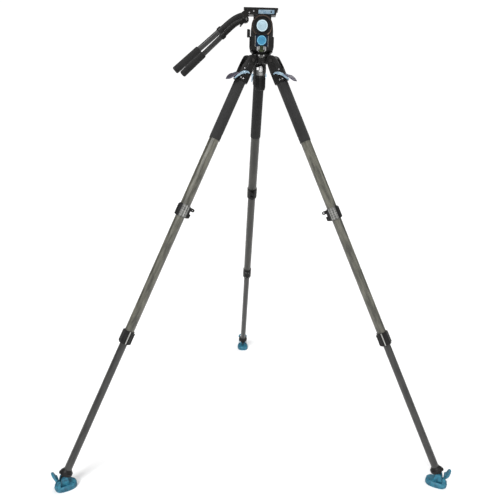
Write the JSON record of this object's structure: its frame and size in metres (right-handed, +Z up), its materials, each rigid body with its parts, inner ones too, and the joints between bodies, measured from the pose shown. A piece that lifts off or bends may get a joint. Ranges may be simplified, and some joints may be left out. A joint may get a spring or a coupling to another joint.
{
  "type": "video camera tripod",
  "caption": "Two-stage carbon video tripod with a half-ball bowl and a fluid pan-and-tilt head carrying twin pan handles and a sliding camera plate; no camera fitted.",
  "frame": {"origin": "middle of the footprint's bounding box, on the floor; the tripod's own axis stands at X -0.0267, Y -0.1865", "axes": "+Z up, +X the way the head looks, with the pan handles pointing back along -X and the drag dials facing -Y"},
  "size_m": [1.5624, 1.4047, 1.802],
  "materials": {
    "black_metal": "satin black anodised",
    "satin_aluminium": "satin",
    "blue_anodised": "pale blue anodised",
    "carbon_tube": "clear-coated fibre weave",
    "grip_foam": "matte foam",
    "black_plastic": "fine textured",
    "foot_rubber": "blue, matte",
    "pale_dial": "pale blue, satin",
    "blue_dial": "blue, satin",
    "vial_glass": "clear green"
  },
  "bodies": {
    "base": {"crown": "black_metal", "front_left_hip_pin": "satin_aluminium", "front_right_hip_pin": "satin_aluminium", "rear_hip_pin": "satin_aluminium"},
    "front_left_leg": {"front_left_hip": "black_metal", "front_left_grip_sleeve": "grip_foam", "front_left_upper_tube": "carbon_tube", "front_left_spreader_clamp": "black_metal"},
    "front_left_lever": {"front_left_release_lever": "blue_anodised"},
    "front_left_middle_stage": {"front_left_middle_tube": "carbon_tube", "front_left_lock_collar": "black_plastic"},
    "front_left_lower_stage": {"front_left_lower_tube": "carbon_tube", "front_left_ankle": "black_plastic"},
    "front_left_pad": {"front_left_foot": "foot_rubber"},
    "front_left_latch": {"front_left_foot_latch": "foot_rubber"},
    "front_right_leg": {"front_right_hip": "black_metal", "front_right_grip_sleeve": "grip_foam", "front_right_upper_tube": "carbon_tube", "front_right_spreader_clamp": "black_metal"},
    "front_right_lever": {"front_right_release_lever": "blue_anodised"},
    "front_right_middle_stage": {"front_right_middle_tube": "carbon_tube", "front_right_lock_collar": "black_plastic"},
    "front_right_lower_stage": {"front_right_lower_tube": "carbon_tube", "front_right_ankle": "black_plastic"},
    "front_right_pad": {"front_right_foot": "foot_rubber"},
    "front_right_latch": {"front_right_foot_latch": "foot_rubber"},
    "rear_leg": {"rear_hip": "black_metal", "rear_grip_sleeve": "grip_foam", "rear_upper_tube": "carbon_tube", "rear_spreader_clamp": "black_metal"},
    "rear_lever": {"rear_release_lever": "blue_anodised"},
    "rear_middle_stage": {"rear_middle_tube": "carbon_tube", "rear_lock_collar": "black_plastic"},
    "rear_lower_stage": {"rear_lower_tube": "carbon_tube", "rear_ankle": "black_plastic"},
    "rear_pad": {"rear_foot": "foot_rubber"},
    "rear_latch": {"rear_foot_latch": "foot_rubber"},
    "ball": {"half_ball": "black_metal"},
    "tie_down": {"tie_down_handle": "black_plastic"},
    "pan_housing": {"head_body": "black_metal", "bubble_level": "vial_glass"},
    "tilt_unit": {"tilt_drum": "black_metal", "plate_receiver": "black_metal"},
    "tilt_dial": {"tilt_drag_dial": "pale_dial"},
    "pan_dial": {"pan_drag_dial": "blue_dial"},
    "balance_knob": {"counterbalance_knob": "black_plastic"},
    "tilt_lock": {"tilt_lock_lever": "black_plastic"},
    "pan_lock": {"pan_lock_lever": "black_plastic"},
    "plate": {"camera_plate": "black_metal"},
    "screw": {"camera_screw": "satin_aluminium"},
    "plate_lever": {"plate_clamp_lever": "blue_anodised"},
    "handle_lever": {"handle_clamp_lever": "black_plastic"},
    "near_arm": {"near_handle_arm": "black_metal"},
    "near_collar": {"near_handle_collar": "black_plastic"},
    "near_bar": {"near_handle_bar": "carbon_tube", "near_handle_grip": "grip_foam"},
    "far_arm": {"far_handle_arm": "black_metal"},
    "far_collar": {"far_handle_collar": "black_plastic"},
    "far_bar": {"far_handle_bar": "carbon_tube", "far_handle_grip": "grip_foam"}
  },
  "joints": [
    {"name": "front_left_leg_fold", "type": "hinge", "parent": "base", "child": "front_left_leg", "pos_m": [-0.07169, -0.21643, 1.60561], "axis": [-0.5534, 0.8329, 0], "range_deg": [-24, 0]},
    {"name": "front_left_release", "type": "hinge", "parent": "front_left_leg", "child": "front_left_lever", "pos_m": [-0.10236, -0.23681, 1.55923], "axis": [-0.5534, 0.8329, 0], "range_deg": [0, 18], "stiffness_Nm_per_rad": 1, "springref_deg": -17.19},
    {"name": "front_left_middle_slide", "type": "slide", "parent": "front_left_leg", "child": "front_left_middle_stage", "axis": [0.375, 0.2492, 0.8929], "range_m": [0, 0.44]},
    {"name": "front_left_lower_slide", "type": "slide", "parent": "front_left_middle_stage", "child": "front_left_lower_stage", "axis": [0.375, 0.2492, 0.8929], "range_m": [0, 0.44]},
    {"name": "front_left_ankle_pivot", "type": "hinge", "parent": "front_left_lower_stage", "child": "front_left_pad", "pos_m": [-0.72926, -0.65332, 0.04], "axis": [-0.5534, 0.8329, 0], "range_deg": [-20, 20]},
    {"name": "front_left_latch_pivot", "type": "hinge", "parent": "front_left_pad", "child": "front_left_latch", "pos_m": [-0.74883, -0.66632, 0.042], "axis": [-0.5534, 0.8329, 0], "range_deg": [-60, 5]},
    {"name": "front_right_leg_fold", "type": "hinge", "parent": "base", "child": "front_right_leg", "pos_m": [0.02166, -0.21056, 1.60561], "axis": [-0.4446, -0.8957, 0], "range_deg": [-24, 0]},
    {"name": "front_right_release", "type": "hinge", "parent": "front_right_leg", "child": "front_right_lever", "pos_m": [0.05465, -0.22693, 1.55923], "axis": [-0.4446, -0.8957, 0], "range_deg": [0, 18], "stiffness_Nm_per_rad": 1, "springref_deg": -17.19},
    {"name": "front_right_middle_slide", "type": "slide", "parent": "front_right_leg", "child": "front_right_middle_stage", "axis": [-0.4033, 0.2002, 0.8929], "range_m": [0, 0.44]},
    {"name": "front_right_lower_slide", "type": "slide", "parent": "front_right_middle_stage", "child": "front_right_lower_stage", "axis": [-0.4033, 0.2002, 0.8929], "range_m": [0, 0.44]},
    {"name": "front_right_ankle_pivot", "type": "hinge", "parent": "front_right_lower_stage", "child": "front_right_pad", "pos_m": [0.7288, -0.56159, 0.04], "axis": [-0.4446, -0.8957, 0], "range_deg": [-20, 20]},
    {"name": "front_right_latch_pivot", "type": "hinge", "parent": "front_right_pad", "child": "front_right_latch", "pos_m": [0.74985, -0.57203, 0.042], "axis": [-0.4446, -0.8957, 0], "range_deg": [-60, 5]},
    {"name": "rear_leg_fold", "type": "hinge", "parent": "base", "child": "rear_leg", "pos_m": [-0.0301, -0.13265, 1.60561], "axis": [0.998, 0.0628, 0], "range_deg": [-24, 0]},
    {"name": "rear_release", "type": "hinge", "parent": "rear_leg", "child": "rear_lever", "pos_m": [-0.03241, -0.0959, 1.55923], "axis": [0.998, 0.0628, 0], "range_deg": [0, 18], "stiffness_Nm_per_rad": 1, "springref_deg": -17.19},
    {"name": "rear_middle_slide", "type": "slide", "parent": "rear_leg", "child": "rear_middle_stage", "axis": [0.0283, -0.4494, 0.8929], "range_m": [0, 0.44]},
    {"name": "rear_lower_slide", "type": "slide", "parent": "rear_middle_stage", "child": "rear_lower_stage", "axis": [0.0283, -0.4494, 0.8929], "range_m": [0, 0.44]},
    {"name": "rear_ankle_pivot", "type": "hinge", "parent": "rear_lower_stage", "child": "rear_pad", "pos_m": [-0.07967, 0.65526, 0.04], "axis": [0.998, 0.0628, 0], "range_deg": [-20, 20]},
    {"name": "rear_latch_pivot", "type": "hinge", "parent": "rear_pad", "child": "rear_latch", "pos_m": [-0.08115, 0.67872, 0.042], "axis": [0.998, 0.0628, 0], "range_deg": [-60, 5]},
    {"name": "bowl_level", "type": "hinge", "parent": "base", "child": "ball", "pos_m": [-0.02671, -0.18655, 1.63311], "axis": [1, 0, 0], "range_deg": [-6, 6]},
    {"name": "tie_down_turn", "type": "hinge", "parent": "ball", "child": "tie_down", "pos_m": [-0.02671, -0.18655, 1.55111], "axis": [0, 0, 1], "continuous": true},
    {"name": "pan", "type": "hinge", "parent": "ball", "child": "pan_housing", "pos_m": [-0.02671, -0.18655, 1.63311], "axis": [0, 0, 1], "continuous": true},
    {"name": "tilt", "type": "hinge", "parent": "pan_housing", "child": "tilt_unit", "pos_m": [-0.02671, -0.18655, 1.72861], "axis": [0, 1, 0], "range_deg": [-20, 70]},
    {"name": "tilt_drag", "type": "hinge", "parent": "pan_housing", "child": "tilt_dial", "pos_m": [-0.02671, -0.23295, 1.72861], "axis": [0, 1, 0], "range_deg": [-135, 135]},
    {"name": "pan_drag", "type": "hinge", "parent": "pan_housing", "child": "pan_dial", "pos_m": [-0.02671, -0.22795, 1.67711], "axis": [0, 1, 0], "range_deg": [-135, 135]},
    {"name": "counterbalance", "type": "hinge", "parent": "pan_housing", "child": "balance_knob", "pos_m": [-0.07371, -0.19855, 1.70561], "axis": [1, 0, 0], "range_deg": [-135, 135]},
    {"name": "tilt_lock_turn", "type": "hinge", "parent": "pan_housing", "child": "tilt_lock", "pos_m": [-0.02671, -0.14015, 1.72861], "axis": [0, 1, 0], "range_deg": [-60, 0]},
    {"name": "pan_lock_turn", "type": "hinge", "parent": "pan_housing", "child": "pan_lock", "pos_m": [-0.04671, -0.14015, 1.66311], "axis": [0, 1, 0], "range_deg": [-45, 0]},
    {"name": "plate_slide", "type": "slide", "parent": "tilt_unit", "child": "plate", "axis": [1, 0, 0], "range_m": [-0.02, 0.02]},
    {"name": "camera_screw_turn", "type": "hinge", "parent": "plate", "child": "screw", "pos_m": [-0.02771, -0.18655, 1.78801], "axis": [0, 0, 1], "continuous": true},
    {"name": "plate_clamp", "type": "hinge", "parent": "tilt_unit", "child": "plate_lever", "pos_m": [-0.03991, -0.21575, 1.78761], "axis": [0, 0, -1], "range_deg": [0, 60]},
    {"name": "handle_clamp_turn", "type": "hinge", "parent": "tilt_unit", "child": "handle_lever", "pos_m": [-0.09471, -0.22095, 1.74551], "axis": [0, 1, 0], "range_deg": [0, 45]},
    {"name": "near_handle_angle", "type": "hinge", "parent": "tilt_unit", "child": "near_arm", "pos_m": [-0.09271, -0.24105, 1.76451], "axis": [0, 1, 0], "range_deg": [-15, 90]},
    {"name": "near_collar_twist", "type": "hinge", "parent": "near_arm", "child": "near_collar", "pos_m": [-0.18293, -0.25858, 1.70495], "axis": [-0.7341, -0.1427, -0.6639], "range_deg": [0, 90]},
    {"name": "near_bar_slide", "type": "slide", "parent": "near_arm", "child": "near_bar", "axis": [-0.7341, -0.1427, -0.6639], "range_m": [0, 0.028]},
    {"name": "far_handle_angle", "type": "hinge", "parent": "tilt_unit", "child": "far_arm", "pos_m": [-0.09271, -0.13205, 1.76451], "axis": [0, 1, 0], "range_deg": [-15, 90]},
    {"name": "far_collar_twist", "type": "hinge", "parent": "far_arm", "child": "far_collar", "pos_m": [-0.18293, -0.11451, 1.70495], "axis": [-0.7341, 0.1427, -0.6639], "range_deg": [0, 90]},
    {"name": "far_bar_slide", "type": "slide", "parent": "far_arm", "child": "far_bar", "axis": [-0.7341, 0.1427, -0.6639], "range_m": [0, 0.028]}
  ]
}
